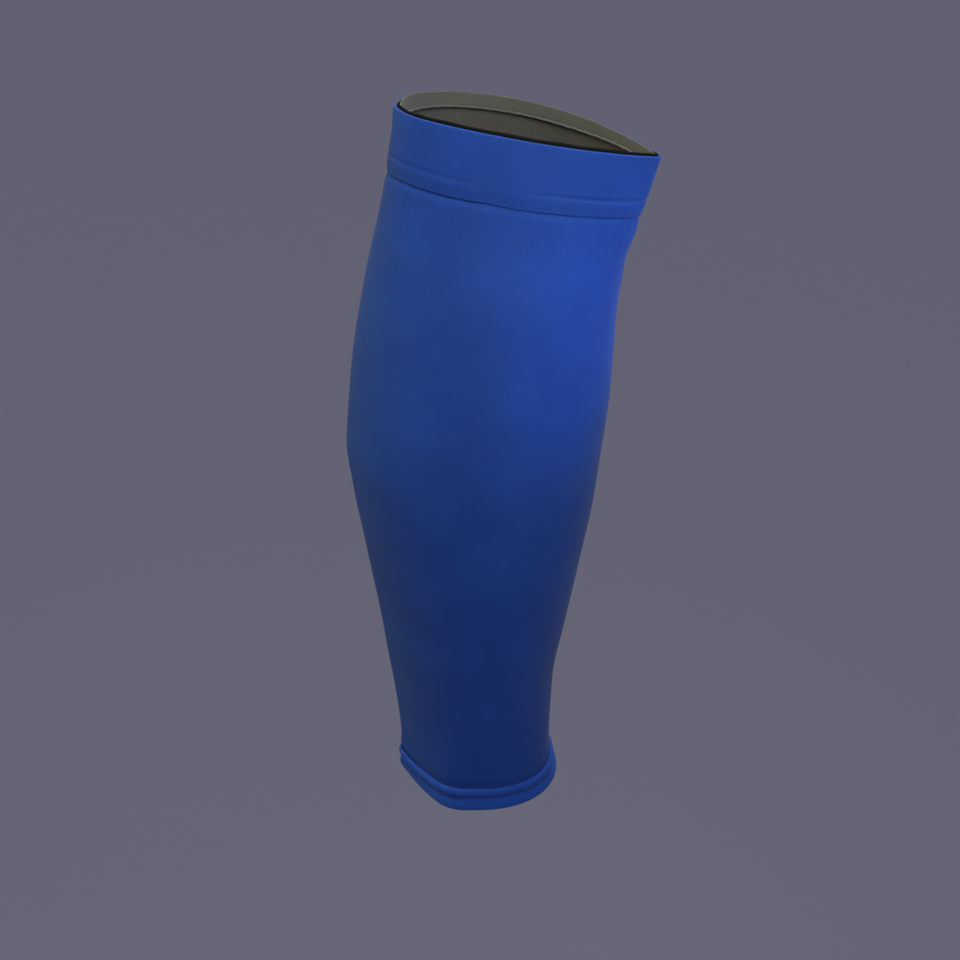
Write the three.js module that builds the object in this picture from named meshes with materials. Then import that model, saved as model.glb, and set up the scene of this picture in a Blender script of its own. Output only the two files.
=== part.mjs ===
// Calf compression sleeve: a knitted tube shaped to the lower leg, with a folded band below the knee,
// an elastic held behind the band by a facing tape, and a hem turned up at the ankle.
// Millimetres. Z runs up the leg, X points to the shin, and the two sides are near (-Y) and far (+Y).
// The origin is on the leg's long axis, level with the fullest girth of the calf.

import * as THREE from 'three';

// Heights up the leg from the ankle edge
const LENGTH = 340;
const CALF_HEIGHT = 181;

// The leg line is a closed curve round the leg, just inside the sleeve. At the ankle, the calf and the
// knee these are its reaches from the long axis to the back, the front, the near side and the far side.
const ANKLE_BACK = 37;
const ANKLE_FRONT = 35;
const ANKLE_SIDE = 39;
const CALF_BACK = 69.3;
const CALF_FRONT = 48.9;
const CALF_NEAR = 51;
const CALF_FAR = 52;
const KNEE_BACK = 48.5;
const KNEE_FRONT = 60.5;
const KNEE_NEAR = 15;
const KNEE_FAR = 49;

// The open top is pressed flat towards the near side, and its edge falls to the front. The ankle's edge
// rises to the far side, and its back and front swing to the near side.
const KNEE_DRIFT = 19.6;
const KNEE_LEAN_DEGREES = 6.9;
const ANKLE_RISE_DEGREES = 3;
const ANKLE_BACK_SWING = 14;
const ANKLE_FRONT_SWING = 6;

// A pinch above 0 draws that quarter of the line in towards a crease, and one below 0 swells it
const KNEE_FRONT_PINCH = 0.83;
const KNEE_BACK_NEAR_PINCH = -0.3;
const KNEE_BACK_FAR_PINCH = -0.2;
const ANKLE_BACK_NEAR_PINCH = 0.9;
const ANKLE_BACK_FAR_PINCH = 0.4;
const CREASE_SOFTNESS = 0.2;

// Cloth walls, and the clearance between two pieces
const TUBE_WALL = 1;
const LAP_WALL = 0.9;
const BAND_WALL = 1.4;
const ELASTIC_WALL = 0.7;
const FACING_WALL = 0.6;
const HEM_WALL = 0.9;
const GAP = 0.3;

// Knee band, whose lower strip laps over the tube
const BAND_HEIGHT = 29.6;
const LAP_HEIGHT = 7.5;

// Elastic and facing behind the band. Each is tilted: the facing stands higher on the far side, and the
// elastic on the near side.
const ELASTIC_HEIGHT = 6;
const ELASTIC_PROUD = 0.9;
const ELASTIC_TILT = 0.5;
const FACING_PROUD = 0.3;
const FACING_TILT = 0.8;
const FACING_FOOT = 1.5;

// Ankle hem: a fold at the bottom, a stitched groove and a roll at the top
const HEM_HEIGHT = 12.4;
const FOLD_HEIGHT = 3.8;
const FOLD_THICKNESS = 2;
const FOLD_DEPTH = 1.7;
const GROOVE_HEIGHT = 6.3;
const GROOVE_DEPTH = 0.9;
const ROLL_HEIGHT = 5.4;
const ROLL_DEPTH = 2.2;

// Fineness of the meshes
const SEGMENTS = 56;
const CREASE_CROWDING = 0.45;
const TUBE_STEP = 14;
const ARC_STEP_DEGREES = 30;

// Each wall's distance outside the leg line, from the facing outwards
const FACING_OUT = FACING_WALL;
const ELASTIC_IN = FACING_OUT + GAP;
const ELASTIC_OUT = ELASTIC_IN + ELASTIC_WALL;
const BAND_IN = ELASTIC_OUT + GAP;
const BAND_OUT = BAND_IN + BAND_WALL;
const LAP_IN = BAND_OUT - LAP_WALL;
const TUBE_OUT = LAP_IN - GAP;
const TUBE_IN = TUBE_OUT - TUBE_WALL;
const HEM_OUT = TUBE_OUT + GAP;
const HEM_IN = TUBE_IN - GAP;

const BAND_FOOT = LENGTH - BAND_HEIGHT;
const LAP_TOP = BAND_FOOT + LAP_HEIGHT;

// Turns an angle in degrees to radians
function radians(degrees) {
  return THREE.MathUtils.degToRad(degrees);
}

// The leg line's values at one height. A pinch belongs to a quarter, named by its two sides.
const ANKLE = {
  back: ANKLE_BACK,
  front: ANKLE_FRONT,
  near: ANKLE_SIDE,
  far: ANKLE_SIDE,
  drift: 0,
  lean: 0,
  backSwing: ANKLE_BACK_SWING,
  frontSwing: ANKLE_FRONT_SWING,
  rise: Math.tan(radians(ANKLE_RISE_DEGREES)),
  frontPinch: 0,
  backNearPinch: ANKLE_BACK_NEAR_PINCH,
  backFarPinch: ANKLE_BACK_FAR_PINCH,
};
const CALF = {
  back: CALF_BACK,
  front: CALF_FRONT,
  near: CALF_NEAR,
  far: CALF_FAR,
  drift: 0,
  lean: 0,
  backSwing: 0,
  frontSwing: 0,
  rise: 0,
  frontPinch: 0,
  backNearPinch: 0,
  backFarPinch: 0,
};
const KNEE = {
  back: KNEE_BACK,
  front: KNEE_FRONT,
  near: KNEE_NEAR,
  far: KNEE_FAR,
  drift: -KNEE_DRIFT,
  lean: Math.tan(radians(KNEE_LEAN_DEGREES)),
  backSwing: 0,
  frontSwing: 0,
  rise: 0,
  frontPinch: KNEE_FRONT_PINCH,
  backNearPinch: KNEE_BACK_NEAR_PINCH,
  backFarPinch: KNEE_BACK_FAR_PINCH,
};

// How far each value has gone from the ankle's to the calf's; up is a share of the calf's height
const LOWER_COLUMNS = ['up', 'back', 'front', 'side', 'backSwing', 'frontSwing', 'rise', 'pinch'];
const LOWER_ROWS = [
  [0.00, -0.12, 0.34, 0.06, 0.8, 0.4, 0.0, 0.5],
  [0.07, -0.08, 0.10, 0.00, 0.0, 0.0, 0.1, 0.0],
  [0.14, -0.01, 0.04, 0.00, 0.4, 0.5, 0.4, 0.3],
  [0.30, 0.19, 0.00, 0.10, 1.0, 1.0, 1.0, 0.6],
  [0.50, 0.40, 0.30, 0.38, 1.0, 1.0, 1.0, 0.9],
  [0.70, 0.65, 0.65, 0.70, 1.0, 1.0, 1.0, 1.0],
  [0.88, 0.89, 0.92, 0.93, 1.0, 1.0, 1.0, 1.0],
];

// The same from the calf's value to the knee's; up is a share of the height from calf to knee
const UPPER_COLUMNS = ['up', 'back', 'front', 'near', 'far', 'drift', 'lean', 'frontPinch', 'backPinch'];
const UPPER_ROWS = [
  [0.00, 0.00, 0.00, 0.00, 0.00, 0.00, 0.00, 0.00, 0.0],
  [0.22, 0.08, 0.14, 0.07, 0.04, 0.04, 0.04, 0.00, 0.0],
  [0.50, 0.37, 0.10, 0.30, 0.25, 0.25, 0.30, 0.15, 0.1],
  [0.78, 0.78, 0.46, 0.80, 0.62, 0.73, 0.92, 0.55, 0.5],
  [1.00, 1.00, 1.00, 1.00, 1.00, 1.00, 1.00, 1.00, 1.0],
];

// Names a row's numbers by their columns
function named(columns, row) {
  return Object.fromEntries(columns.map((column, i) => [column, row[i]]));
}

// A section of the leg line between two others, each value by its own share of the way
function between(from, to, height, share) {
  const section = { height };
  for (const key of Object.keys(from)) {
    section[key] = from[key] + share[key] * (to[key] - from[key]);
  }
  return section;
}

function lowerSection(row) {
  const { up, side, pinch, ...shares } = named(LOWER_COLUMNS, row);
  return between(ANKLE, CALF, up * CALF_HEIGHT, {
    ...shares,
    near: side,
    far: side,
    drift: 1,
    lean: 1,
    frontPinch: 1,
    backNearPinch: pinch,
    backFarPinch: pinch,
  });
}

function upperSection(row) {
  const { up, backPinch, ...shares } = named(UPPER_COLUMNS, row);
  return between(CALF, KNEE, CALF_HEIGHT + up * (LENGTH - CALF_HEIGHT), {
    ...shares,
    backSwing: 1,
    frontSwing: 1,
    rise: 1,
    backNearPinch: backPinch,
    backFarPinch: backPinch,
  });
}

const SECTIONS = [...LOWER_ROWS.map(lowerSection), ...UPPER_ROWS.map(upperSection)];

// Slope of one value at a section: the harmonic mean of the slopes on its two sides, or 0 at a turning
// point, so that the curve through the sections never overshoots them
function slopeAt(key, i) {
  const slope = (a, b) => (SECTIONS[b][key] - SECTIONS[a][key]) / (SECTIONS[b].height - SECTIONS[a].height);
  const last = SECTIONS.length - 1;
  if (i === 0) return slope(0, 1);
  if (i === last) return slope(last - 1, last);
  const below = slope(i - 1, i);
  const above = slope(i, i + 1);
  if (below * above <= 0) return 0;
  const lower = SECTIONS[i].height - SECTIONS[i - 1].height;
  const upper = SECTIONS[i + 1].height - SECTIONS[i].height;
  const belowWeight = 2 * upper + lower;
  const aboveWeight = upper + 2 * lower;
  return (belowWeight + aboveWeight) / (belowWeight / below + aboveWeight / above);
}

// One value at any height, by a cubic between the two sections round it. The end cubics run on
// past the ends.
function valueAt(key, height) {
  const above = SECTIONS.findIndex((section) => section.height > height);
  const i = (above === -1 ? SECTIONS.length - 1 : Math.max(above, 1)) - 1;
  const [a, b] = [SECTIONS[i], SECTIONS[i + 1]];
  const span = b.height - a.height;
  const t = (height - a.height) / span;
  const fromA = (1 + 2 * t) * (1 - t) ** 2 * a[key] + t * (1 - t) ** 2 * span * slopeAt(key, i);
  const fromB = t * t * (3 - 2 * t) * b[key] + t * t * (t - 1) * span * slopeAt(key, i + 1);
  return fromA + fromB;
}

function sectionAt(height) {
  return Object.fromEntries(Object.keys(ANKLE).map((key) => [key, valueAt(key, height)]));
}

// The leg line of a section, seen from above: a half ellipse to each side and end, drawn in by the
// quarter's pinch, with the two ends swung towards the near side. The turn is 0 at the shin, and goes
// to the back by the far side.
function linePoint(section, turn) {
  const [c, s] = [Math.cos(turn), Math.sin(turn)];
  const backPinch = s < 0 ? section.backNearPinch : section.backFarPinch;
  const pinch = c > 0 ? section.frontPinch : backPinch;
  const softness = CREASE_SOFTNESS ** 2;
  const draw = ((s * s + softness) / (1 + softness)) ** (pinch / 2);
  const swing = (c > 0 ? section.frontSwing : section.backSwing) * c * c;
  const x = (c > 0 ? section.front : section.back) * c;
  const y = (s < 0 ? section.near : section.far) * s * draw + section.drift - swing;
  return [x, y];
}

// A point at a height, a turn and a distance straight out from the leg line
function legPoint(height, turn, distance) {
  const section = sectionAt(height);
  const nudge = 1e-4;
  const [x, y] = linePoint(section, turn);
  const [beforeX, beforeY] = linePoint(section, turn - nudge);
  const [afterX, afterY] = linePoint(section, turn + nudge);
  const along = new THREE.Vector2(afterX - beforeX, afterY - beforeY).normalize();
  const outX = x + distance * along.y;
  const outY = y - distance * along.x;
  return [outX, outY, height - CALF_HEIGHT - section.lean * outX + section.rise * outY];
}

// A turn for each segment, closer together round the shin crease
function turnOf(segment) {
  const even = (2 * Math.PI * segment) / SEGMENTS;
  return even - CREASE_CROWDING * Math.sin(even);
}

// Points on an arc of an ellipse in a loop's own plane, by angle from straight out, up to a given end
function arc(height, distance, halfHeight, halfDepth, fromDegrees, toDegrees) {
  const steps = Math.ceil(Math.abs(toDegrees - fromDegrees) / ARC_STEP_DEGREES);
  return Array.from({ length: steps + 1 }, (_, i) => {
    const angle = radians(fromDegrees + ((toDegrees - fromDegrees) * i) / steps);
    return [height + halfHeight * Math.sin(angle), distance + halfDepth * Math.cos(angle)];
  });
}

// Evenly spaced heights with both ends, no further apart than a step
function heights(from, to, step) {
  const count = Math.ceil((to - from) / step);
  return Array.from({ length: count + 1 }, (_, i) => from + ((to - from) * i) / count);
}

// A wall between two distances: up its outer face and down its inner one
function wall(levels, inner, outer) {
  const up = levels.map((height) => [height, outer]);
  const down = levels.map((height) => [height, inner]).reverse();
  return [...up, ...down];
}

// Carries a closed loop of [height, distance] points round the leg. The loop goes up the outside.
// Tilt lifts it on the far side and drops it on the near side.
function sweep(name, color, roughness, loop, tilt = 0) {
  const positions = [];
  const indices = [];
  for (let i = 0; i < SEGMENTS; i++) {
    const turn = turnOf(i);
    const lift = tilt * Math.sin(turn);
    for (const [height, distance] of loop) {
      positions.push(...legPoint(height + lift, turn, distance));
    }
    const here = i * loop.length;
    const next = ((i + 1) % SEGMENTS) * loop.length;
    for (let j = 0; j < loop.length; j++) {
      const k = (j + 1) % loop.length;
      indices.push(here + j, next + j, next + k);
      indices.push(here + j, next + k, here + k);
    }
  }
  const geometry = new THREE.BufferGeometry();
  geometry.setAttribute('position', new THREE.Float32BufferAttribute(positions, 3));
  geometry.setIndex(indices);
  geometry.computeVertexNormals();
  const mesh = new THREE.Mesh(geometry, new THREE.MeshStandardMaterial({ color, roughness, metalness: 0 }));
  mesh.name = name;
  return mesh;
}

// Tube: one wall from inside the hem's fold to behind the band's lap
function calfTube() {
  const foot = FOLD_THICKNESS + GAP;
  const free = heights(HEM_HEIGHT, BAND_FOOT, TUBE_STEP);
  return sweep('calf_tube', '#1d46a6', 0.85, wall([foot, ...free, LAP_TOP - GAP], TUBE_IN, TUBE_OUT));
}

// Knee band: cloth folded double above the tube's end, and single where it laps over the tube
function kneeBand() {
  const crown = BAND_WALL / 2;
  const levels = heights(LAP_TOP, LENGTH - crown, LAP_HEIGHT).slice(0, -1);
  return sweep('knee_band', '#1f4cb4', 0.85, [
    [BAND_FOOT, BAND_OUT],
    ...levels.map((height) => [height, BAND_OUT]),
    ...arc(LENGTH - crown, BAND_IN + crown, crown, crown, 0, 180),
    ...levels.map((height) => [height, BAND_IN]).reverse(),
    [LAP_TOP, LAP_IN],
    [BAND_FOOT, LAP_IN],
  ]);
}

const ELASTIC_TOP = LENGTH + ELASTIC_PROUD;
const ELASTIC_FOOT = ELASTIC_TOP - ELASTIC_HEIGHT;

// Elastic: a flat strip between the band and the facing, a little proud of the band's edge
function rimElastic() {
  const levels = heights(ELASTIC_FOOT, ELASTIC_TOP, ELASTIC_HEIGHT / 2);
  return sweep('rim_elastic', '#0c0c0e', 0.9, wall(levels, ELASTIC_IN, ELASTIC_OUT), -ELASTIC_TILT);
}

// Facing: a tape over the elastic, whose foot steps out below it to the band's inner face
function rimFacing() {
  const top = LENGTH + FACING_PROUD;
  const ankle = ELASTIC_FOOT - GAP - FACING_TILT - ELASTIC_TILT;
  const foot = ankle - FACING_FOOT;
  const footOut = BAND_IN - GAP;
  const waist = (ankle + foot) / 2;
  return sweep('rim_facing', '#6f6f64', 0.9, [
    [foot, footOut],
    [waist, footOut],
    [ankle, FACING_OUT],
    [top, FACING_OUT],
    [top, 0],
    [ankle, 0],
    [waist, footOut - FACING_WALL],
    [foot, footOut - FACING_WALL],
  ], FACING_TILT);
}

// Ankle hem: folded round the tube's lower end, with a leg up its inside and a shaped leg outside
function ankleHem() {
  const inner = HEM_IN - HEM_WALL;
  const outer = HEM_OUT + FOLD_DEPTH;
  const middle = (inner + outer) / 2;
  const fold = FOLD_HEIGHT / 2;
  const roll = ROLL_HEIGHT / 2;
  const rollStart = -50;
  return sweep('ankle_hem', '#1b3f96', 0.85, [
    ...arc(fold, middle, fold, outer - middle, -180, 0),
    [(fold + GROOVE_HEIGHT) / 2, HEM_OUT + (FOLD_DEPTH + GROOVE_DEPTH) / 2],
    [GROOVE_HEIGHT, HEM_OUT + GROOVE_DEPTH],
    ...arc(HEM_HEIGHT - roll, HEM_OUT, roll, ROLL_DEPTH, rollStart, 90),
    [FOLD_THICKNESS, HEM_OUT],
    [FOLD_THICKNESS, HEM_IN],
    [HEM_HEIGHT, HEM_IN],
    [HEM_HEIGHT, inner],
  ]);
}

const sleeve = new THREE.Group();
sleeve.add(calfTube(), kneeBand(), rimElastic(), rimFacing(), ankleHem());

export default sleeve;
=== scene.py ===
"""Calf compression sleeve: the looks of its knit, elastic, tape and thread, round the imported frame.

Shapes are worked out in millimetres on the leg itself: a height up from the ankle edge, a turn round the
leg, and a distance out from the leg line. The turn is 0 at the shin, goes to the back by the far side, and
is between pi and twice pi on the near side. Meshes are in metres.
"""

import math

import bpy
import numpy as np
from mathutils import Matrix, Vector


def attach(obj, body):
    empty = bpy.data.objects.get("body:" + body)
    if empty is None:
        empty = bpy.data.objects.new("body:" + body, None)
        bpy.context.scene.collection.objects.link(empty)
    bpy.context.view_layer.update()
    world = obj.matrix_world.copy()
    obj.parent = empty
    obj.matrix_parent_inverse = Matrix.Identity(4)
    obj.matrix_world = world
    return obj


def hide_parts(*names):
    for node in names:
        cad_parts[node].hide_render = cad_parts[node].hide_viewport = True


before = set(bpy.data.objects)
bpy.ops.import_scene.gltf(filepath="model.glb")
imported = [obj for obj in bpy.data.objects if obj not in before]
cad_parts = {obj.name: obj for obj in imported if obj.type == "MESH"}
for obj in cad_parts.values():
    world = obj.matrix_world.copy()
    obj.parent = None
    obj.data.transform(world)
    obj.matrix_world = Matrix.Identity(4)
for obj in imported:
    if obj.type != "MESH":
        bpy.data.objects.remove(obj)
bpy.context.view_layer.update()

MM = 0.001

# Driving sizes of the leg line, as in the part's source
LENGTH = 340.0
CALF_HEIGHT = 181.0
CREASE_SOFTNESS = 0.2
ANKLE = {
    "back": 37.0, "front": 35.0, "near": 39.0, "far": 39.0, "drift": 0.0, "lean": 0.0,
    "back_swing": 14.0, "front_swing": 6.0, "rise": math.tan(math.radians(3.0)),
    "front_pinch": 0.0, "back_near_pinch": 0.9, "back_far_pinch": 0.4,
}
CALF = {
    "back": 69.3, "front": 48.9, "near": 51.0, "far": 52.0, "drift": 0.0, "lean": 0.0,
    "back_swing": 0.0, "front_swing": 0.0, "rise": 0.0,
    "front_pinch": 0.0, "back_near_pinch": 0.0, "back_far_pinch": 0.0,
}
KNEE = {
    "back": 48.5, "front": 60.5, "near": 15.0, "far": 49.0, "drift": -19.6,
    "lean": math.tan(math.radians(6.9)), "back_swing": 0.0, "front_swing": 0.0, "rise": 0.0,
    "front_pinch": 0.83, "back_near_pinch": -0.3, "back_far_pinch": -0.2,
}

# Shares of the way from the ankle's value to the calf's, at shares of the calf's height
LOWER_UP = (0.00, 0.07, 0.14, 0.30, 0.50, 0.70, 0.88)
LOWER = {
    "back": (-0.12, -0.08, -0.01, 0.19, 0.40, 0.65, 0.89),
    "front": (0.34, 0.10, 0.04, 0.00, 0.30, 0.65, 0.92),
    "near": (0.06, 0.00, 0.00, 0.10, 0.38, 0.70, 0.93),
    "far": (0.06, 0.00, 0.00, 0.10, 0.38, 0.70, 0.93),
    "back_swing": (0.8, 0.0, 0.4, 1.0, 1.0, 1.0, 1.0),
    "front_swing": (0.4, 0.0, 0.5, 1.0, 1.0, 1.0, 1.0),
    "rise": (0.0, 0.1, 0.4, 1.0, 1.0, 1.0, 1.0),
    "back_near_pinch": (0.5, 0.0, 0.3, 0.6, 0.9, 1.0, 1.0),
    "back_far_pinch": (0.5, 0.0, 0.3, 0.6, 0.9, 1.0, 1.0),
}

# The same from the calf's value to the knee's, at shares of the height between them
UPPER_UP = (0.00, 0.22, 0.50, 0.78, 1.00)
UPPER = {
    "back": (0.00, 0.08, 0.37, 0.78, 1.00),
    "front": (0.00, 0.14, 0.10, 0.46, 1.00),
    "near": (0.00, 0.07, 0.30, 0.80, 1.00),
    "far": (0.00, 0.04, 0.25, 0.62, 1.00),
    "drift": (0.00, 0.04, 0.25, 0.73, 1.00),
    "lean": (0.00, 0.04, 0.30, 0.92, 1.00),
    "front_pinch": (0.00, 0.00, 0.15, 0.55, 1.00),
    "back_near_pinch": (0.0, 0.0, 0.1, 0.5, 1.0),
    "back_far_pinch": (0.0, 0.0, 0.1, 0.5, 1.0),
}
SECTION_HEIGHTS = np.array(
    [up * CALF_HEIGHT for up in LOWER_UP]
    + [CALF_HEIGHT + up * (LENGTH - CALF_HEIGHT) for up in UPPER_UP]
)

# Distances out from the leg line, and heights of the edges and seams
FACING_OUT = 0.6
ELASTIC_IN = 0.75
ELASTIC_OUT = 1.75
BAND_IN = 1.9
BAND_OUT = 3.3
LAP_IN = 2.4
TUBE_IN = 1.1
TUBE_OUT = 2.1
HEM_OUT = 2.4
HEM_IN = 0.8
HEM_INSIDE = -0.1
FOLD_OUT = 4.1
BAND_FOOT = LENGTH - 29.6
LAP_TOP = BAND_FOOT + 7.5
HEM_HEIGHT = 12.4
FOLD_HEIGHT = 3.8
FOLD_THICKNESS = 2.0
GROOVE_HEIGHT = 6.5
GROOVE_OUT = 3.0
ROLL_HEIGHT = 4.6
ROLL_OUT = 4.4
ELASTIC_HEIGHT = 6.0
# The elastic, whose near black is painted shade, stands proud and tilts up on the near side, so that it shows
# along the near rim alone.
ELASTIC_PROUD = 0.9
ELASTIC_TILT = 0.5
FACING_PROUD = 0.3
FACING_TILT = 0.8
FACING_FOOT = 7.2
FACING_STEP = 0.35

# The lap is thinner at its foot, where its seam draws it in
LAP_FOOT_IN = 2.10
LAP_FOOT_OUT = 2.62

# Slow waves of the cloth: how far out, how many round the leg, how far up for one radian, and the start
CLOTH_WAVES = ((0.30, 2, 41.0, 0.6), (0.22, 3, -27.0, 2.1), (0.14, 5, 19.0, 4.0))

# Where the cloth departs from the leg line round the leg: rows of a turn, a width and an amount
HEM_CORNER = ((4.42, 0.26, 1.9),)
FOLD_CORNER = ((3.38, 0.20, 1.4),)
HEM_CLIMB = ((3.30, 0.45, 1.6),)
HEM_FLARE = ((3.35, 0.35, 0.9), (0.00, 0.35, 0.9))
SEAM_DIP = ((4.30, 0.50, 0.7), (3.20, 0.50, -1.0))
SEAM_SLACK = ((4.78, 0.19, 0.75), (1.90, 0.30, 0.40), (5.35, 0.12, 0.25))
CREASE_HOLLOW = ((0.00, 0.35, 1.0),)
RIM_TIP = ((3.22, 0.28, 0.9),)
BAND_SINKS = ((2.70, 0.50, 0.6),)
ELASTIC_SINKS = ((2.70, 0.50, 1.2), (0.40, 0.35, 0.8))
FACING_STANDS = ((2.70, 0.50, 0.4), (2.90, 0.20, 0.9))

# The lap seam's small jog, and how much further the rim's tip stands up than out
JOG_TURN = 4.66
JOG_WIDTH = 0.22
JOG_SIZE = 0.9
TIP_UP = 1.5

# Columns round the leg, crowded round the shin crease as in the part's source. They start at the closing
# seam, which runs up the far side just behind the crease, so that the knit's map breaks only there.
COLUMNS = 320
CROWDING = 0.45
SEAM_EVEN = 0.56
SEAM_TURN = SEAM_EVEN - CROWDING * math.sin(SEAM_EVEN)

# Stitches: length from one to the next, share of it that the thread covers, and the bead's sides and rings
STITCH_LENGTH = 2.9
STITCH_COVER = 0.78
STITCH_SIDES = 6
STITCH_RINGS = 7

# Sizes of patterns in millimetres: slow patches of tone, fibres, one turn of a thread's twist, and the
# elastic's ribs and picks. Real fibres are too fine to show, so these are drawn far coarser.
PATCH_MM = 29.41
FIBRE_MM = 1.111
TWIST_MM = 0.698
RIB_MM = 0.7
PICK_MM = 0.9

MATH = "ShaderNodeMath"


def smooth(x, low, high):
    """A smooth step: 0 below low, 1 above high, and three t squared less two t cubed between."""
    t = np.clip((x - low) / (high - low), 0.0, 1.0)
    return t * t * (3 - 2 * t)


def bell(x, centre, width):
    """A bell: the exponential of minus the square of the distance from the centre over the width."""
    return np.exp(-(((x - centre) / width) ** 2))


def turn_from(turn, centre):
    """How far a turn is from another, the short way round."""
    return (turn - centre + np.pi) % (2 * np.pi) - np.pi


def bells(turn, rows):
    """Bells round the leg added up, each with its centre, width and amount."""
    return sum(amount * bell(turn_from(turn, centre), 0.0, width) for centre, width, amount in rows)


def section_values(name):
    """One value of the leg line at each section: the end's value plus its share of the way to the next."""
    lower = np.array(LOWER.get(name, np.ones(len(LOWER_UP))))
    upper = np.array(UPPER.get(name, np.ones(len(UPPER_UP))))
    return np.concatenate([
        ANKLE[name] + lower * (CALF[name] - ANKLE[name]),
        CALF[name] + upper * (KNEE[name] - CALF[name]),
    ])


def section_slopes(values):
    """Slope at each section: the harmonic mean of the slopes on its two sides, or 0 at a turning point."""
    spans = np.diff(SECTION_HEIGHTS)
    rises = np.diff(values) / spans
    below, above = rises[:-1], rises[1:]
    below_weight = 2 * spans[1:] + spans[:-1]
    above_weight = spans[1:] + 2 * spans[:-1]
    same_way = below * above > 0
    safe_below = np.where(same_way, below, 1.0)
    safe_above = np.where(same_way, above, 1.0)
    mean = (below_weight + above_weight) / (below_weight / safe_below + above_weight / safe_above)
    return np.concatenate([rises[:1], np.where(same_way, mean, 0.0), rises[-1:]])


SECTIONS = {name: section_values(name) for name in ANKLE}
SLOPES = {name: section_slopes(values) for name, values in SECTIONS.items()}


def value_at(name, height):
    """One value at any height, by a cubic through the two sections round it with their slopes."""
    last = len(SECTION_HEIGHTS) - 2
    i = np.clip(np.searchsorted(SECTION_HEIGHTS, height, side="right") - 1, 0, last)
    span = SECTION_HEIGHTS[i + 1] - SECTION_HEIGHTS[i]
    t = (height - SECTION_HEIGHTS[i]) / span
    values, slopes = SECTIONS[name], SLOPES[name]
    from_below = (1 + 2 * t) * (1 - t) ** 2 * values[i] + t * (1 - t) ** 2 * span * slopes[i]
    from_above = t * t * (3 - 2 * t) * values[i + 1] + t * t * (t - 1) * span * slopes[i + 1]
    return from_below + from_above


def leg_line(height, turn):
    """The leg line from above: half an ellipse to each side and end, each quarter drawn in by its pinch
    as a power of the turn's sine, and both ends swung to the near side by the cosine's square."""
    c, s = np.cos(turn), np.sin(turn)
    back_pinch = np.where(s < 0, value_at("back_near_pinch", height), value_at("back_far_pinch", height))
    pinch = np.where(c > 0, value_at("front_pinch", height), back_pinch)
    softness = CREASE_SOFTNESS**2
    draw = ((s * s + softness) / (1 + softness)) ** (pinch / 2)
    swing = np.where(c > 0, value_at("front_swing", height), value_at("back_swing", height)) * c * c
    x = np.where(c > 0, value_at("front", height), value_at("back", height)) * c
    side = np.where(s < 0, value_at("near", height), value_at("far", height))
    return x, side * s * draw + value_at("drift", height) - swing


def give(height, turn):
    """How far the cloth eases off the leg line: three slow waves that run round and up the leg, each a
    sine of both, fading out at both ends, because nothing holds knitted cloth quite true."""
    waves = sum(size * np.sin(times * turn + height / rise + start)
                for size, times, rise, start in CLOTH_WAVES)
    return waves * smooth(height, 10, 60) * (1 - smooth(height, 270, 318))


def rim_tip(height, turn):
    """How far the rim's back tip stands out: a bell round the leg, over the top 12 mm alone."""
    return bells(turn, RIM_TIP) * smooth(height, LENGTH - 12, LENGTH)


def stands_out(height, turn):
    """How far the cloth stands out from the leg line: its slow waves, the hem's blunt corner where it
    turns from the back to the near side, which dies out up the ankle, a smaller corner in the fold alone,
    a hollow in the crease below the band, and the rim's tip."""
    corner = bells(turn, HEM_CORNER) * (1 - smooth(height, 12, 40))
    fold_corner = bells(turn, FOLD_CORNER) * (1 - smooth(height, 3, 9))
    hollow = bells(turn, CREASE_HOLLOW) * bell(height, 289, 9)
    return give(height, turn) + corner + fold_corner - hollow + rim_tip(height, turn)


def stands_up(height, turn):
    """How much higher the cloth lies than its own height: the hem's groove and roll climb at the back,
    the lap's seam and its neighbourhood hang lower on the near side than at the back, with a small jog
    between, and the rim's tip stands up."""
    climb = bells(turn, HEM_CLIMB) * smooth(height, 2, 8) * (1 - smooth(height, 18, 70))
    jog = JOG_SIZE * turn_from(turn, JOG_TURN) / JOG_WIDTH * bells(turn, ((JOG_TURN, JOG_WIDTH, 1.0),))
    near_seam = smooth(height, 255, 300) * (1 - smooth(height, 322, 336))
    return climb - (bells(turn, SEAM_DIP) + jog) * near_seam + TIP_UP * rim_tip(height, turn)


def on_leg(height, turn, distance):
    """Points at a height, a turn and a distance straight out from the leg line, in metres. The edge falls
    to the shin by the lean and climbs to the far side by the rise."""
    height, turn, distance = np.broadcast_arrays(height, turn, distance)
    nudge = 1e-4
    x, y = leg_line(height, turn)
    before_x, before_y = leg_line(height, turn - nudge)
    after_x, after_y = leg_line(height, turn + nudge)
    along_x, along_y = after_x - before_x, after_y - before_y
    length = np.hypot(along_x, along_y)
    out = distance + stands_out(height, turn)
    out_x = x + out * along_y / length
    out_y = y - out * along_x / length
    level = height - CALF_HEIGHT + stands_up(height, turn)
    z = level - value_at("lean", height) * out_x + value_at("rise", height) * out_y
    return np.stack([out_x, out_y, z], axis=-1) * MM


def turns():
    """Turns of the columns: even steps less a share of their sine, so closer together at the shin."""
    even = SEAM_EVEN + np.arange(COLUMNS) * 2 * np.pi / COLUMNS
    return even - CROWDING * np.sin(even)


def band_seam_pull(turn):
    """How far the lap's seam draws the cloth in, from 0 to 1: full but for slack stretches, by half less
    towards the shin, with an uneven run of stitches."""
    slack = bells(turn, SEAM_SLACK)
    to_shin = 1 - 0.50 * smooth(turn, 4.30, 4.70)
    return (1 - slack) * to_shin * (0.88 + 0.12 * np.sin(23 * turn + 1.0))


def top_row_pull(turn):
    """The same of the upper row: weak at the back of the near side and firm towards the shin."""
    back = 0.55 - 0.45 * smooth(turn, 4.1, 4.5) + 0.75 * smooth(turn, 4.8, 5.2)
    return np.where(turn > 3.2, back, 0.55 + 0.30 * (1 - smooth(turn, 0.6, 2.0)))


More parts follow.
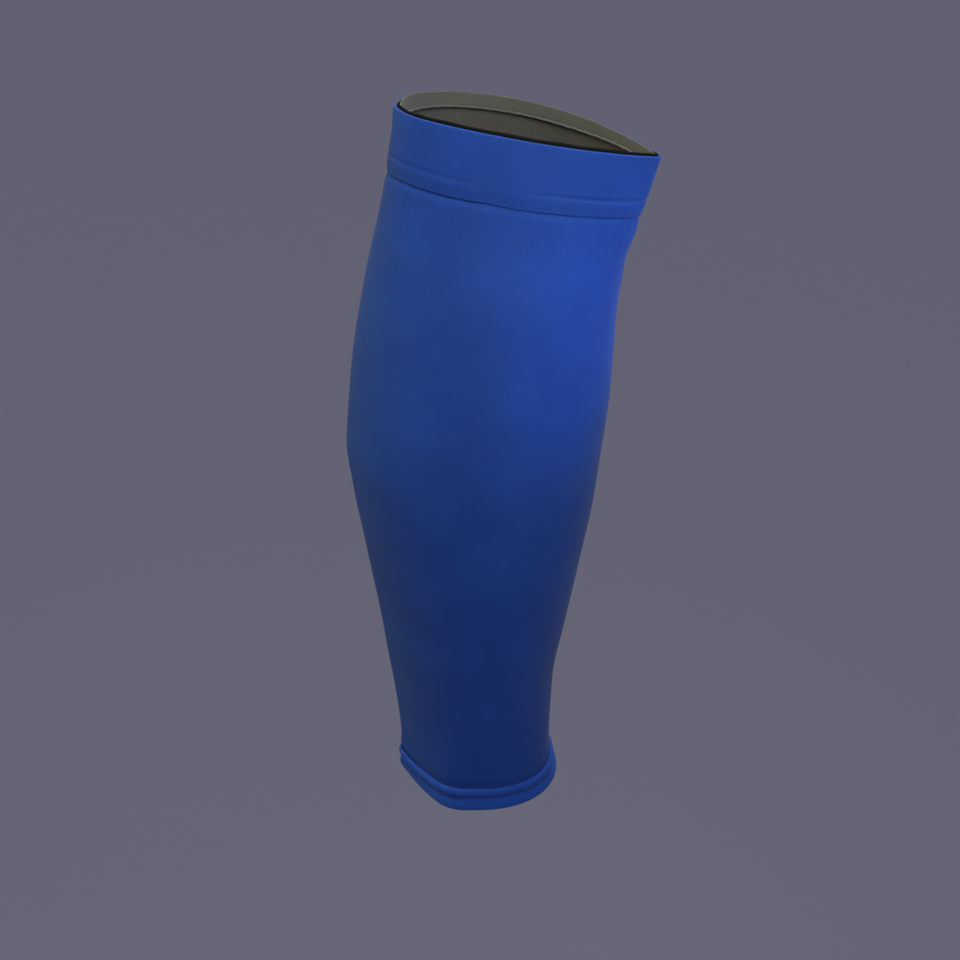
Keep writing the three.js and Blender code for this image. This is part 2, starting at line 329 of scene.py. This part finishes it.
def pucker(turn, count, phase):
    """Small gathers between stitches: a sine of the turn, made uneven by a slower one."""
    return np.sin(count * turn + phase + 1.3 * np.sin(5 * turn + phase))


def linear(hex_colour):
    """Turns an sRGB hex colour into linear red, green, blue and alpha."""
    parts = [int(hex_colour[i:i + 2], 16) / 255 for i in (1, 3, 5)]
    return [p / 12.92 if p <= 0.04045 else ((p + 0.055) / 1.055) ** 2.4 for p in parts] + [1.0]


def add(material, kind, inputs=None, stops=(), **settings):
    """Adds one node with its settings. An input that is an output socket, or a node for its first output,
    is linked, and any other is set. A colour ramp's stops are places with hex colours."""
    tree = material.node_tree
    node = tree.nodes.new(kind)
    for name, value in settings.items():
        setattr(node, name, value)
    for key, value in (inputs or {}).items():
        if isinstance(value, bpy.types.Node):
            value = value.outputs[0]
        if isinstance(value, bpy.types.NodeSocket):
            tree.links.new(value, node.inputs[key])
        else:
            node.inputs[key].default_value = value
    if stops:
        elements = node.color_ramp.elements
        while len(elements) < len(stops):
            elements.new(0.5)
        for element, (place, colour) in zip(elements, stops):
            element.position = place
            element.color = linear(colour)
    return node


def new_material(name):
    """A material with no nodes yet."""
    material = bpy.data.materials.new(name)
    material.use_nodes = True
    material.node_tree.nodes.clear()
    return material


def finish_material(material, inputs):
    """Adds the shader with its inputs and links it to the material's surface."""
    shader = add(material, "ShaderNodeBsdfPrincipled", inputs)
    add(material, "ShaderNodeOutputMaterial", {"Surface": shader})
    return material


def knit_stitches(material, wale_mm, course_mm):
    """Height of a plain knit on the piece's own map, from 0 to 1. Each wale is a column of V shapes: the
    two legs lean by the distance from the wale's middle, and each crowns across its width and along it."""
    uv = add(material, "ShaderNodeUVMap", uv_map="cloth")
    parts = add(material, "ShaderNodeSeparateXYZ", {"Vector": uv})
    wales = add(material, MATH, {0: parts.outputs["X"], 1: wale_mm * MM}, operation="DIVIDE")
    in_wale = add(material, MATH, {0: wales}, operation="FRACT")
    off_middle = add(material, MATH, {0: in_wale, 1: 0.5}, operation="SUBTRACT")
    from_middle = add(material, MATH, {0: off_middle}, operation="ABSOLUTE")
    leg_angle = add(material, MATH, {0: from_middle, 1: 2 * math.pi}, operation="MULTIPLY")
    leg = add(material, MATH, {0: leg_angle}, operation="SINE")
    leg_height = add(material, MATH, {0: leg}, operation="ABSOLUTE")
    courses = add(material, MATH, {0: parts.outputs["Y"], 1: course_mm * MM}, operation="DIVIDE")
    leaned = add(material, MATH, {0: from_middle, 1: 1.4, 2: courses}, operation="MULTIPLY_ADD")
    in_course = add(material, MATH, {0: leaned}, operation="FRACT")
    course_angle = add(material, MATH, {0: in_course, 1: math.pi}, operation="MULTIPLY")
    along = add(material, MATH, {0: course_angle}, operation="SINE")
    crown = add(material, MATH, {0: along, 1: 0.6, 2: 0.4}, operation="MULTIPLY_ADD")
    return add(material, MATH, {0: leg_height, 1: crown}, operation="MULTIPLY")


def knit(name, colours, wale_mm, course_mm, depth_mm, roughness, sheen, sheen_tint="#ffffff"):
    """Polyamide and elastane knit, made as a fine warp-knitted tube. The eye sees a smooth matt face with
    fine columns of V stitches and a soft light edge where it turns away. Its colour is painted a little
    deeper in the hollows between the stitches, as shade, on top of random patches and fibres of tone.
    The colours are its deep, middle and light ones."""
    material = new_material(name)
    height = knit_stitches(material, wale_mm, course_mm)
    place = add(material, "ShaderNodeTexCoord").outputs["Object"]
    patches = add(material, "ShaderNodeTexNoise", {
        "Vector": place, "Scale": 1 / (PATCH_MM * MM), "Detail": 3.0, "Roughness": 0.55,
    }).outputs["Fac"]
    fibres = add(material, "ShaderNodeTexNoise", {
        "Vector": place, "Scale": 1 / (FIBRE_MM * MM), "Detail": 2.0,
    }).outputs["Fac"]
    # Low stitch height deepens the colour: painted shade in the hollows between stitches. Patches and fibres
    # below are random tone.
    tone = add(material, MATH, {0: height, 1: 0.15}, operation="MULTIPLY")
    tone = add(material, MATH, {0: patches, 1: 0.60, 2: tone}, operation="MULTIPLY_ADD")
    tone = add(material, MATH, {0: fibres, 1: 0.25, 2: tone}, operation="MULTIPLY_ADD")
    colour = add(material, "ShaderNodeValToRGB", {"Fac": tone}, stops=tuple(zip((0.15, 0.5, 0.85), colours)))
    relief = add(material, MATH, {0: fibres, 1: 0.3, 2: height}, operation="MULTIPLY_ADD")
    bump = add(material, "ShaderNodeBump", {"Height": relief, "Strength": 0.5, "Distance": depth_mm * MM})
    return finish_material(material, {
        "Base Color": colour, "Roughness": roughness, "Normal": bump, "IOR": 1.53,
        "Specular IOR Level": 0.25, "Sheen Weight": sheen, "Sheen Roughness": 0.5,
        "Sheen Tint": linear(sheen_tint),
    })


def thread(name, colour, dark):
    """Spun polyester sewing thread, two plies twisted together. The eye sees a fine slanting twist, painted
    deeper in its grooves as shade. The diagonal wave goes through ten radians in a unit, so its scale is a
    turn over ten of the twist's size."""
    material = new_material(name)
    place = add(material, "ShaderNodeTexCoord").outputs["Object"]
    twist = add(material, "ShaderNodeTexWave", {
        "Vector": place, "Scale": 2 * math.pi / 10 / (TWIST_MM * MM), "Distortion": 1.5,
    }, bands_direction="DIAGONAL").outputs["Fac"]
    # The twist's grooves take the dark colour: painted shade.
    tone = add(material, "ShaderNodeValToRGB", {"Fac": twist}, stops=((0.1, dark), (0.9, colour)))
    bump = add(material, "ShaderNodeBump", {"Height": twist, "Strength": 0.5, "Distance": 0.05 * MM})
    return finish_material(material, {
        "Base Color": tone, "Roughness": 0.6, "Normal": bump, "Sheen Weight": 0.2,
    })


def elastic_weave(name):
    """Woven elastic over rubber, coloured near black as painted shade: it stands for the dark shade line
    along the near rim, and its raised ribs are painted a little lighter. The eye sees fine ribs along the
    strip, hardly lit.
    """
    material = new_material(name)
    uv = add(material, "ShaderNodeUVMap", uv_map="cloth")
    parts = add(material, "ShaderNodeSeparateXYZ", {"Vector": uv})
    ribs_to_metre = 2 * math.pi / (RIB_MM * MM)
    picks_to_metre = 2 * math.pi / (PICK_MM * MM)
    rib_angle = add(material, MATH, {0: parts.outputs["Y"], 1: ribs_to_metre}, operation="MULTIPLY")
    ribs = add(material, MATH, {0: rib_angle}, operation="SINE")
    pick_angle = add(material, MATH, {0: parts.outputs["X"], 1: picks_to_metre}, operation="MULTIPLY")
    picks = add(material, MATH, {0: pick_angle}, operation="SINE")
    height = add(material, MATH, {0: picks, 1: 0.5, 2: ribs}, operation="MULTIPLY_ADD")
    # Near black as painted shade for the near rim's dark line, a little lighter on the raised ribs as painted
    # light.
    colour = add(material, "ShaderNodeValToRGB", {"Fac": height}, stops=((0.0, "#050507"), (1.0, "#121216")))
    bump = add(material, "ShaderNodeBump", {"Height": height, "Strength": 0.5, "Distance": 0.08 * MM})
    return finish_material(material, {
        "Base Color": colour, "Roughness": 0.8, "Normal": bump, "Specular IOR Level": 0.2,
    })


# One blue cloth. Its copy on the hem is lighter as painted light, for the light that the hem's upturned roll
# catches. The grey back and tape are coarser.
BLUE_CLOTH = {
    "wale_mm": 1.1, "course_mm": 1.2, "depth_mm": 0.035, "roughness": 0.75, "sheen": 0.20,
    "sheen_tint": "#a9bce6",
}
BLUE_FACE = knit("blue_knit_face", ("#193e91", "#1e49a0", "#2455b3"), **BLUE_CLOTH)
# Same cloth as the face, painted lighter for the light on the hem.
BLUE_HEM_PAINTED_LIGHT = knit("blue_hem_knit_painted_light", ("#1f4bae", "#2558c0", "#2d67d6"), **BLUE_CLOTH)
GREY_BACK = knit("grey_knit_back", ("#4f4d45", "#5a5850", "#66645b"), 1.4, 1.5, 0.12, 0.85, 0.10)
GREY_TAPE = knit("grey_tape_knit", ("#5c5d52", "#68695e", "#747569"), 1.3, 1.3, 0.12, 0.85, 0.15)
# Near-black elastic: painted shade along the near rim.
RIM_SHADE_ELASTIC = elastic_weave("near_black_elastic_painted_shade")
# Each thread's second colour is the painted shade in its twist's grooves.
BLUE_THREAD = thread("blue_polyester_thread", "#1a4fb4", "#0f3484")
GREY_THREAD = thread("light_grey_polyester_thread", "#9a9a8e", "#74746a")


def link_piece(name, points, faces, materials):
    """A smooth-shaded mesh of points and faces, linked to the scene; returns its object."""
    mesh = bpy.data.meshes.new(name)
    mesh.from_pydata(points.reshape(-1, 3).tolist(), [], faces)
    for material in materials:
        mesh.materials.append(material)
    mesh.polygons.foreach_set("use_smooth", np.ones(len(faces), dtype=bool))
    piece = bpy.data.objects.new(name, mesh)
    bpy.context.scene.collection.objects.link(piece)
    return piece


def solid_of_loops(name, points, cloth_map, materials, slots):
    """A closed mesh from points[column, row]: quads between neighbours, round both ways. cloth_map holds
    the map's two lengths in metres with one more column and row, so that it is whole at the join. slots
    gives each row's material."""
    columns, rows = points.shape[:2]
    i, j = np.meshgrid(np.arange(columns), np.arange(rows), indexing="ij")
    next_i, next_j = (i + 1) % columns, (j + 1) % rows
    corners = [i * rows + j, next_i * rows + j, next_i * rows + next_j, i * rows + next_j]
    piece = link_piece(name, points, np.stack(corners, axis=-1).reshape(-1, 4).tolist(), materials)
    mesh = piece.data
    slot_of_face = np.broadcast_to(slots, (columns, rows)).ravel().astype(np.int32)
    mesh.polygons.foreach_set("material_index", slot_of_face)
    layer = mesh.uv_layers.new(name="cloth")
    uv = [cloth_map[i, j], cloth_map[i + 1, j], cloth_map[i + 1, j + 1], cloth_map[i, j + 1]]
    layer.data.foreach_set("uv", np.stack(uv, axis=2).ravel().astype(np.float32))
    mesh.update()
    return piece


def carried(name, height, distance, materials, slots):
    """Carries a closed loop of heights and distances round the leg, up its outside and down its inside.
    height and distance are functions of the turn that return the loop's rows, or plain rows. The map's
    first length is the share of the girth times the mean girth, and its second runs along the loop."""
    turn = turns()[:, None]
    heights = height(turn) if callable(height) else height
    distances = distance(turn) if callable(distance) else distance
    heights, distances, turn = np.broadcast_arrays(heights, distances, turn)
    points = on_leg(heights, turn, distances)
    around = np.linalg.norm(np.roll(points, -1, axis=0) - points, axis=2)
    around = np.concatenate([np.zeros((1, around.shape[1])), np.cumsum(around, axis=0)])
    share = around / around[-1]
    along = np.linalg.norm(np.roll(points, -1, axis=1) - points, axis=2)[0]
    along = np.concatenate([[0.0], np.cumsum(along)])
    across = np.concatenate([share, share[:, :1]], axis=1) * around[-1].mean()
    cloth_map = np.stack([across, np.broadcast_to(along, across.shape)], axis=-1)
    return solid_of_loops(name, points, cloth_map, materials, slots)


def tube_out(height, turn):
    """Outer face of the tube: drawn in under the lap by its seam and above the hem by its crease, eased
    out between, with small gathers below the seam and above the hem, a small flare above the hem at back
    and shin, and a shallow furrow along the closing seam."""
    pull = band_seam_pull(turn)
    drawn = (0.55 + 0.45 * pull) * smooth(height, BAND_FOOT - 3.5, BAND_FOOT)
    eased = 0.45 * smooth(height, BAND_FOOT - 26.0, BAND_FOOT - 8.0) * (1 - drawn)
    under_lap = 0.42 * pull * bell(height, BAND_FOOT - 1.0, 2.2)
    off_crease = 1 - bells(turn, ((0.0, 0.22, 1.0),))
    gathers = 0.12 * off_crease * pucker(turn, 34, 0.4) * bell(height, BAND_FOOT - 4.5, 4.0)
    above_hem = 0.35 * bell(height, HEM_HEIGHT + 0.6, 1.8)
    flare = bells(turn, HEM_FLARE) * bell(height, HEM_HEIGHT + 3.0, 2.6)
    hem_gathers = 0.10 * pucker(turn, 30, 2.0) * bell(height, HEM_HEIGHT + 5.0, 3.5)
    furrow = bells(turn, ((SEAM_TURN, 0.016, 0.30),))
    return TUBE_OUT + eased - under_lap + gathers - above_hem + hem_gathers + flare - furrow


def calf_tube():
    """The knitted tube, from inside the hem's fold to behind the band's lap: blue face, grey back. Its
    rows are closest where a seam draws the cloth."""
    foot = FOLD_THICKNESS + 0.3
    top = LAP_TOP - 0.3
    outside = np.concatenate([
        np.linspace(foot, 11.0, 4),
        np.linspace(12.0, 22.0, 14),
        np.linspace(24.0, 296.0, 118),
        np.linspace(298.0, BAND_FOOT + 2.0, 26),
        [top],
    ])
    heights = np.concatenate([outside, np.linspace(top, foot, 70)])
    row = np.arange(len(heights))

    def distance(turn):
        return np.where(row < len(outside), tube_out(heights, turn), TUBE_IN)

    slots = np.where(row < len(outside) - 1, 0, 1)
    return carried("calf_tube_knit", heights, distance, [BLUE_FACE, GREY_BACK], slots)


def knee_band():
    """The band: double cloth with a round crown that sinks a little behind its tip, a channel under the
    upper row of stitches, and a lap whose foot is drawn in by its seam. Its inner leg shows the grey back."""
    crown = (BAND_OUT - BAND_IN) / 2
    arc = np.radians(np.linspace(0, 180, 13))
    lap_foot = np.array([[BAND_FOOT + 0.30, LAP_FOOT_IN], [BAND_FOOT + 0.05, LAP_FOOT_IN + 0.12]])
    outside = np.concatenate([
        np.linspace(BAND_FOOT, BAND_FOOT + 3.0, 9),
        np.linspace(BAND_FOOT + 3.6, LAP_TOP - 2.0, 5),
        np.linspace(LAP_TOP - 1.6, LAP_TOP + 2.4, 12),
        np.linspace(LAP_TOP + 3.2, LENGTH - crown - 1.0, 16),
    ])
    inside = np.linspace(LENGTH - crown - 1.0, LAP_TOP, 12)
    heights = np.concatenate([
        lap_foot[:, 0], outside, LENGTH - crown + crown * np.sin(arc), inside, [LAP_TOP, BAND_FOOT + 2.0],
    ])
    lap_out = LAP_FOOT_OUT + (BAND_OUT - LAP_FOOT_OUT) * smooth(outside, BAND_FOOT, LAP_TOP)
    base = np.concatenate([
        lap_foot[:, 1], lap_out, BAND_IN + crown + crown * np.cos(arc),
        np.full(len(inside), BAND_IN), [LAP_IN, LAP_FOOT_IN],
    ])
    row = np.arange(len(heights))
    face_end = len(lap_foot) + len(outside)
    outer = (row >= len(lap_foot)) & (row < face_end)

    def distance(turn):
        pull = band_seam_pull(turn)
        channel = 0.50 * top_row_pull(turn) * bell(heights, LAP_TOP + 0.5, 1.1)
        foot = (0.15 + 0.18 * (1 - pull)) * np.exp(-np.maximum(heights - BAND_FOOT, 0) / 0.7)
        belly = 0.12 * pull * bell(heights, BAND_FOOT + 3.8, 2.2)
        gathers = 0.07 * pucker(turn, 36, 1.1) * bell(heights, BAND_FOOT + 1.5, 2.5)
        ease = 0.10 * pucker(turn, 9, 3.0) * bell(heights, LENGTH - 12.0, 8.0)
        return base + outer * (belly + gathers + ease - channel - foot)

    def height(turn):
        return heights - bells(turn, BAND_SINKS) * smooth(heights, LENGTH - 4.0, LENGTH)

    slots = np.where(row < face_end + (len(arc) + 1) // 2, 0, 1)
    return carried("knee_band_knit", height, distance, [BLUE_FACE, GREY_BACK], slots)


def rounded_strip(low, high, inner, outer, up):
    """Loop of a flat strip with round edges, by heights and distances: up the outside from its foot. up is
    how many rows its flat sides have."""
    corner_rows = 5
    radius = (outer - inner) / 2
    middle = (outer + inner) / 2
    foot = np.radians(np.linspace(-90, 0, corner_rows))
    crown = np.radians(np.linspace(0, 180, 2 * corner_rows - 1))
    heel = np.radians(np.linspace(180, 270, corner_rows))[:-1]
    rising = np.linspace(low + radius, high - radius, up)[1:-1]
    heights = [
        low + radius + radius * np.sin(foot), rising, high - radius + radius * np.sin(crown),
        rising[::-1], low + radius + radius * np.sin(heel),
    ]
    distances = [
        middle + radius * np.cos(foot), np.full(up - 2, outer), middle + radius * np.cos(crown),
        np.full(up - 2, inner), middle + radius * np.cos(heel),
    ]
    return np.concatenate(heights), np.concatenate(distances)


def rim_elastic():
    """The elastic between band and facing, a little proud of the band's crown, more so on the near side, and
    sunk behind the tip and by the shin. Its near black is painted shade, standing for the dark line along the
    near rim."""
    top = LENGTH + ELASTIC_PROUD
    heights, distances = rounded_strip(top - ELASTIC_HEIGHT, top, ELASTIC_IN, ELASTIC_OUT, 6)

    def height(turn):
        ease = (0.12 * pucker(turn, 14, 0.0) - bells(turn, ELASTIC_SINKS)) * smooth(heights, top - 2.0, top)
        return heights - ELASTIC_TILT * np.sin(turn) + ease

    return carried("rim_elastic_shade_strip", height, distances, [RIM_SHADE_ELASTIC], 0)


def facing_lift(turn):
    """How far the facing's foot is drawn up towards the shin crease."""
    return 1.6 * smooth(np.cos(turn), 0.3, 0.95)


def facing_step(height):
    """How far the facing is stepped out towards the band's inner face, near its foot alone."""
    foot = LENGTH - FACING_FOOT
    return FACING_STEP * (1 - smooth(height, foot + 0.6, foot + 1.8))


def rim_facing():
    """The grey facing tape, tilted so that it stands higher on the far side, a little more behind the
    tip, with its foot stepped out below the elastic and drawn up towards the crease."""
    top = LENGTH + FACING_PROUD
    foot = LENGTH - FACING_FOOT
    heights, distances = rounded_strip(foot, top, 0.0, FACING_OUT, 14)

    def height(turn):
        ease = (0.08 * pucker(turn, 11, 2.2) + bells(turn, FACING_STANDS)) * smooth(heights, top - 2.0, top)
        drawn_up = facing_lift(turn) * (top - heights) / (top - foot)
        return heights + FACING_TILT * np.sin(turn) + ease + drawn_up

    return carried("rim_facing_tape", height, distances + facing_step(heights), [GREY_TAPE], 0)


def ankle_hem():
    """The hem: a fold round the tube's end, a stitched groove and a roll above it, and a leg turned up
    the inside. Groove and roll are gathered a little by the stitches."""
    fold = FOLD_HEIGHT / 2
    roll = ROLL_HEIGHT / 2
    middle = (HEM_INSIDE + FOLD_OUT) / 2
    under = np.radians(np.linspace(-180, 0, 15))
    over = np.radians(np.linspace(-48, 82, 16))
    groove = np.array([[4.3, 3.70], [5.4, 3.25], [GROOVE_HEIGHT, GROOVE_OUT], [7.5, 3.20]])
    closing = np.array([
        [FOLD_THICKNESS + 4.0, HEM_OUT], [FOLD_THICKNESS, HEM_OUT], [FOLD_THICKNESS, HEM_IN],
        [FOLD_THICKNESS + 4.0, HEM_IN], [HEM_HEIGHT - 0.2, HEM_IN], [HEM_HEIGHT, HEM_IN - 0.3],
        [HEM_HEIGHT, HEM_INSIDE + 0.3], [HEM_HEIGHT - 0.3, HEM_INSIDE], [FOLD_HEIGHT + 3.0, HEM_INSIDE],
    ])
    heights = np.concatenate([
        fold + fold * np.sin(under), groove[:, 0], HEM_HEIGHT - roll + roll * np.sin(over), closing[:, 0],
    ])
    distances = np.concatenate([
        middle + (FOLD_OUT - middle) * np.cos(under), groove[:, 1],
        HEM_OUT + (ROLL_OUT - HEM_OUT) * np.cos(over), closing[:, 1],
    ])
    row = np.arange(len(heights))
    outside = (row > len(under) // 2) & (row < len(under) + len(groove) + len(over) - 2)

    def distance(turn):
        gathers = 0.14 * pucker(turn, 30, 2.0) * bell(heights, GROOVE_HEIGHT + 1.0, 3.0)
        return distances + outside * gathers

    # The hem takes the lighter blue copy, which is painted light on the same cloth.
    return carried("ankle_hem_knit", heights, distance, [BLUE_HEM_PAINTED_LIGHT], 0)


def stitch_row(name, centre, radius_mm, material):
    """A row of short threads, one closed bead each. centre(s) returns heights, turns and distances of
    every stitch's middle line at s from 0 to 1, as arrays of one row for each stitch. A ring's radius is
    the thread's times the fourth root of one less the fourth power of the way from the middle."""
    s = np.linspace(0.0, 1.0, STITCH_RINGS)
    height, turn, distance = np.broadcast_arrays(*centre(s[None, :]))
    middle = on_leg(height, turn, distance)
    outward = on_leg(height, turn, distance + 1.0) - middle
    outward /= np.linalg.norm(outward, axis=2, keepdims=True)
    forward = np.gradient(middle, axis=1)
    forward /= np.linalg.norm(forward, axis=2, keepdims=True)
    sideways = np.cross(forward, outward)
    sideways /= np.linalg.norm(sideways, axis=2, keepdims=True)
    outward = np.cross(sideways, forward)
    taper = (1 - np.abs(2 * s - 1) ** 4) ** 0.25
    taper[[0, -1]] = 0.25
    side = np.arange(STITCH_SIDES)
    angle = (side * 2 * np.pi / STITCH_SIDES)[None, None, :, None]
    radius = radius_mm * MM * taper[None, :, None, None]
    ring = np.cos(angle) * outward[:, :, None, :] + np.sin(angle) * sideways[:, :, None, :]
    points = middle[:, :, None, :] + radius * ring
    bead = np.arange(points.shape[0])[:, None] * STITCH_RINGS * STITCH_SIDES
    here = bead[:, :, None] + np.arange(STITCH_RINGS - 1)[:, None] * STITCH_SIDES
    next_side = (side + 1) % STITCH_SIDES
    quads = np.stack([
        here + side, here + STITCH_SIDES + side, here + STITCH_SIDES + next_side, here + next_side,
    ], axis=-1)
    start_caps = bead + side
    end_caps = bead + (STITCH_RINGS - 1) * STITCH_SIDES + side[::-1]
    faces = quads.reshape(-1, 4).tolist() + start_caps.tolist() + end_caps.tolist()
    piece = link_piece(name, points, faces, [material])
    piece.data.update()
    return piece


def stitch_starts(height, spacing_mm):
    """Turns where a row's stitches start, spaced evenly by length round the leg at one height, and the
    step from each to the next, both as columns."""
    fine = np.linspace(0, 2 * np.pi, 1441)
    line = on_leg(height, fine, BAND_OUT) / MM
    length = np.concatenate([[0.0], np.cumsum(np.linalg.norm(np.diff(line, axis=0), axis=1))])
    count = round(length[-1] / spacing_mm)
    starts = np.interp(np.arange(count) * length[-1] / count, length, fine)[:, None]
    return starts, np.diff(np.append(starts, starts[0] + 2 * np.pi))[:, None]


def plain_stitches(name, level, out, pull=0.0):
    """A row of plain stitches round the leg at one height. Each sinks at its ends by the fourth power of
    the way from its middle, and goes in with its share of the upper row's pull."""
    starts, step = stitch_starts(level, STITCH_LENGTH)

    def centre(s):
        turn = starts + step * STITCH_COVER * s
        sink = 0.30 * (2 * s - 1) ** 4
        return level, turn, out - sink - pull * (top_row_pull(turn) - 0.6)

    return stitch_row(name, centre, 0.15, BLUE_THREAD)


def facing_overlock():
    """Overlock loops over the facing's foot: each leans across the edge, in light grey thread, and stands
    a little proud of the tape."""
    foot = LENGTH - FACING_FOOT
    starts, step = stitch_starts(foot, 1.1)
    uneven = 0.12 * np.sin(7.3 * np.arange(len(starts)))[:, None]

    def centre(s):
        turn = starts + step * (0.15 + 0.9 * s)
        level = foot - 0.15 + 1.4 * s + uneven
        height = level + FACING_TILT * np.sin(turn) + facing_lift(turn)
        return height, turn, facing_step(level) - 0.20 + 0.3 * (2 * s - 1) ** 4

    return stitch_row("facing_overlock", centre, 0.26, GREY_THREAD)


def closing_seam():
    """Flat closing seam up the far side: slanting stitches that cross the furrow, from hem to band."""
    levels = np.arange(HEM_HEIGHT + 2.0, BAND_FOOT - 2.0, 1.9)[:, None]
    side = np.where(np.arange(len(levels)) % 2 == 0, 1.0, -1.0)[:, None]

    def centre(s):
        turn = SEAM_TURN + side * 0.030 * (2 * s - 1)
        height = levels + 1.5 * (s - 0.5)
        return height, turn, tube_out(height, turn) + 0.12 - 0.28 * (2 * s - 1) ** 4

    return stitch_row("closing_seam_stitches", centre, 0.18, BLUE_THREAD)


def add_light(name, place, aim, size, power, colour, spread):
    """A soft square area light at a place, turned to face another, with its beam's spread in degrees."""
    data = bpy.data.lights.new(name, "AREA")
    data.shape = "SQUARE"
    data.size = size
    data.spread = math.radians(spread)
    data.energy = power
    data.color = linear(colour)[:3]
    lamp = bpy.data.objects.new(name, data)
    lamp.location = place
    lamp.rotation_euler = (Vector(aim) - Vector(place)).to_track_quat("-Z", "Y").to_euler()
    bpy.context.scene.collection.objects.link(lamp)


def studio():
    """A plain floor well below the sleeve, a key light in front that falls off towards the ankle, one
    light from each side for the edges, a soft high sun for an even floor, and a dim grey surround."""
    floor_level = -1.20
    reach = 14.0
    mesh = bpy.data.meshes.new("floor")
    corners = [(-reach, -reach), (reach, -reach), (reach, reach), (-reach, reach)]
    mesh.from_pydata([(x, y, floor_level) for x, y in corners], [], [(0, 1, 2, 3)])
    floor = bpy.data.objects.new("floor", mesh)
    bpy.context.scene.collection.objects.link(floor)
    mesh.materials.append(finish_material(new_material("matt_floor_paint"), {
        "Base Color": linear("#9191a6"), "Roughness": 1.0, "Specular IOR Level": 0.0,
    }))

    world = bpy.data.worlds.new("surround")
    world.use_nodes = True
    world.node_tree.nodes["Background"].inputs["Color"].default_value = linear("#a8a8b8")
    world.node_tree.nodes["Background"].inputs["Strength"].default_value = 0.15
    bpy.context.scene.world = world

    add_light("key", place=(0.12, -0.43, 0.50), aim=(0.0, 0.0, 0.14),
              size=0.35, power=0.61, colour="#ffffff", spread=75)
    add_light("right_edge", place=(0.75, -0.04, 0.27), aim=(0.06, 0.0, 0.10),
              size=0.12, power=0.030, colour="#88bcff", spread=10)
    add_light("left_edge", place=(-0.72, 0.06, 0.36), aim=(0.0, 0.0, 0.05),
              size=0.40, power=2.3, colour="#fffcd0", spread=180)

    sun = bpy.data.lights.new("high_sun", "SUN")
    sun.energy = 1.2
    sun.angle = math.radians(20)
    lamp = bpy.data.objects.new("high_sun", sun)
    lamp.rotation_euler = Vector((0.0, 0.35, 1.0)).to_track_quat("Z", "Y").to_euler()
    bpy.context.scene.collection.objects.link(lamp)


def camera():
    """A camera in front of the near side, looking down by 25 degrees and rolled a little, so that the
    sleeve leans to the right. The shift puts the frame's origin off the picture's middle."""
    distance = 820 * MM
    elevation = math.radians(25.0)
    roll = math.radians(3.79)
    focal_px = 1710.6
    picture_px = 960
    origin_px = (494.4, 444.0)
    sensor = 36.0
    data = bpy.data.cameras.new("camera")
    data.sensor_width = sensor
    data.lens = focal_px * sensor / picture_px
    data.shift_x = (picture_px / 2 - origin_px[0]) / picture_px
    data.shift_y = (origin_px[1] - picture_px / 2) / picture_px
    back = Vector((0.0, -math.cos(elevation), math.sin(elevation)))
    level_right = Vector((1.0, 0.0, 0.0))
    level_up = back.cross(level_right)
    right = math.cos(roll) * level_right + math.sin(roll) * level_up
    up = back.cross(right)
    eye = bpy.data.objects.new("camera", data)
    eye.matrix_world = Matrix.Translation(back * distance) @ Matrix((right, up, back)).transposed().to_4x4()
    bpy.context.scene.collection.objects.link(eye)
    bpy.context.scene.camera = eye


def dress():
    """Makes every piece, attaches each to the root, and hides the imported solid that each cloth piece stands
    for.
    """
    tube = calf_tube()
    band = knee_band()
    elastic = rim_elastic()
    facing = rim_facing()
    hem = ankle_hem()
    lap_row = plain_stitches("lap_seam_stitches", BAND_FOOT + 1.2, LAP_FOOT_OUT - 0.08)
    upper_row = plain_stitches("upper_row_stitches", LAP_TOP + 0.5, BAND_OUT - 0.40, pull=0.4)
    hem_row = plain_stitches("hem_stitches", GROOVE_HEIGHT, GROOVE_OUT + 0.10)
    overlock = facing_overlock()
    seam = closing_seam()
    for piece, node, slot in (
        (tube, "calf_tube", "blue_knit"),
        (band, "knee_band", "band_knit"),
        # The elastic's near black is painted shade along the near rim.
        (elastic, "rim_elastic", "black_elastic"),
        (facing, "rim_facing", "grey_tape"),
        (hem, "ankle_hem", "hem_knit"),
    ):
        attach(piece, "root")
        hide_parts(node)
    for piece, slot in (
        (lap_row, "band_knit"), (upper_row, "band_knit"), (hem_row, "hem_knit"),
        (overlock, "grey_tape"), (seam, "blue_knit"),
    ):
        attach(piece, "root")


bpy.context.scene.view_settings.view_transform = "Standard"
camera()
dress()
studio()
